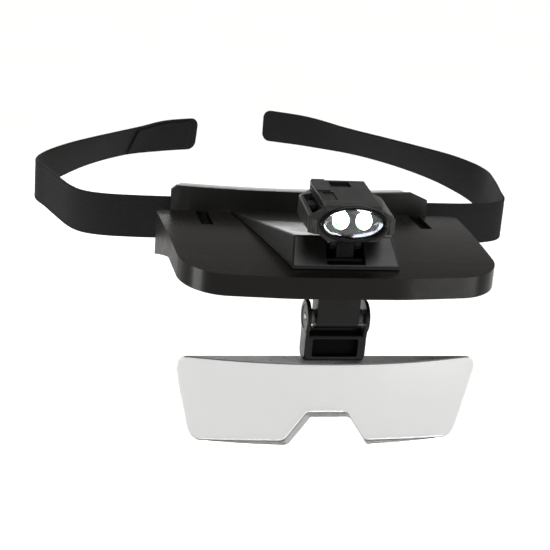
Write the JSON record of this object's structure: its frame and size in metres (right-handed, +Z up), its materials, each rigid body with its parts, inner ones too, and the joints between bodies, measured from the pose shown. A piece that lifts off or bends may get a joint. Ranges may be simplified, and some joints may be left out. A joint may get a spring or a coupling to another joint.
{
  "type": "head visor magnifier",
  "caption": "Visor plate on a padded forehead band with two hook-and-loop straps, a tilting twin-light lamp on top and a flip-up magnifying lens plate under the front edge.",
  "frame": {"origin": "centre of the forehead pad's rear face, level with the top rear edge of the visor plate", "axes": "+Y toward the back of the wearer's head, -Y the way the wearer looks, +Z up, +X to the right of someone facing the lamp"},
  "size_m": [0.2542, 0.3483, 0.1172],
  "materials": {
    "visor_plastic": "moulded black plastic with a broad soft gloss",
    "hinge_plastic": "black plastic, satin",
    "band_plastic": "black plastic, fine texture",
    "lamp_plastic": "black plastic, fine satin",
    "bezel_gloss": "polished black",
    "switch_plastic": "ribbed",
    "washer_nylon": "nylon",
    "pad_foam": "light grey foam with a knit face",
    "strap_webbing": "woven elastic webbing",
    "hook_and_loop": "hook and loop strip",
    "fastener_steel": "zinc plated",
    "lens_acrylic": "clear optical acrylic",
    "window_clear": "clear polycarbonate",
    "reflector_chrome": "vacuum metallised",
    "led_glow": "lit white light-emitting diode",
    "board_green": "solder mask",
    "cell_steel": "nickel plated",
    "contact_brass": "plated spring strip"
  },
  "bodies": {
    "headgear": {"visor_shell": "visor_plastic", "lamp_cradle": "visor_plastic", "hinge_block": "hinge_plastic", "hinge_washer_left": "washer_nylon", "hinge_washer_right": "washer_nylon", "block_screw_left": "fastener_steel", "block_screw_right": "fastener_steel", "forehead_band": "band_plastic", "forehead_pad": "pad_foam", "strap_left": "strap_webbing", "strap_right": "strap_webbing", "strap_rivet_left": "fastener_steel", "strap_rivet_right": "fastener_steel", "hook_patch": "hook_and_loop", "loop_patch": "hook_and_loop", "lamp_foot": "hinge_plastic", "tilt_pin": "fastener_steel"},
    "lens_arm": {"lens_holder": "hinge_plastic", "hinge_pin": "fastener_steel"},
    "lens": {"lens_plate": "lens_acrylic"},
    "lamp": {"lamp_base": "lamp_plastic", "lamp_housing": "lamp_plastic", "lamp_bezel": "bezel_gloss", "lamp_window": "window_clear", "reflector": "reflector_chrome", "led_left": "led_glow", "led_right": "led_glow", "circuit_board": "board_green", "cell_lower": "cell_steel", "cell_upper": "cell_steel", "contact_lower": "contact_brass", "contact_upper": "contact_brass", "lamp_screw_left": "fastener_steel", "lamp_screw_right": "fastener_steel"},
    "cover": {"battery_cover": "lamp_plastic"},
    "switch": {"switch_slider": "switch_plastic"}
  },
  "joints": [
    {"name": "lens_flip", "type": "hinge", "parent": "headgear", "child": "lens_arm", "pos_m": [0, -0.0776, -0.0295], "axis": [-1, 0, 0], "range_deg": [-20, 105]},
    {"name": "lens_release", "type": "slide", "parent": "lens_arm", "child": "lens", "axis": [0, 0, -1], "range_m": [0, 0.012]},
    {"name": "lamp_tilt", "type": "hinge", "parent": "headgear", "child": "lamp", "pos_m": [0, -0.0806, 0.0058], "axis": [-1, 0, 0], "range_deg": [-25, 8]},
    {"name": "cover_slide", "type": "slide", "parent": "lamp", "child": "cover", "axis": [0, 0.9929, 0.1191], "range_m": [0, 0.022]},
    {"name": "switch_slide", "type": "slide", "parent": "lamp", "child": "switch", "axis": [0, 1, 0], "range_m": [0, 0.005]}
  ]
}
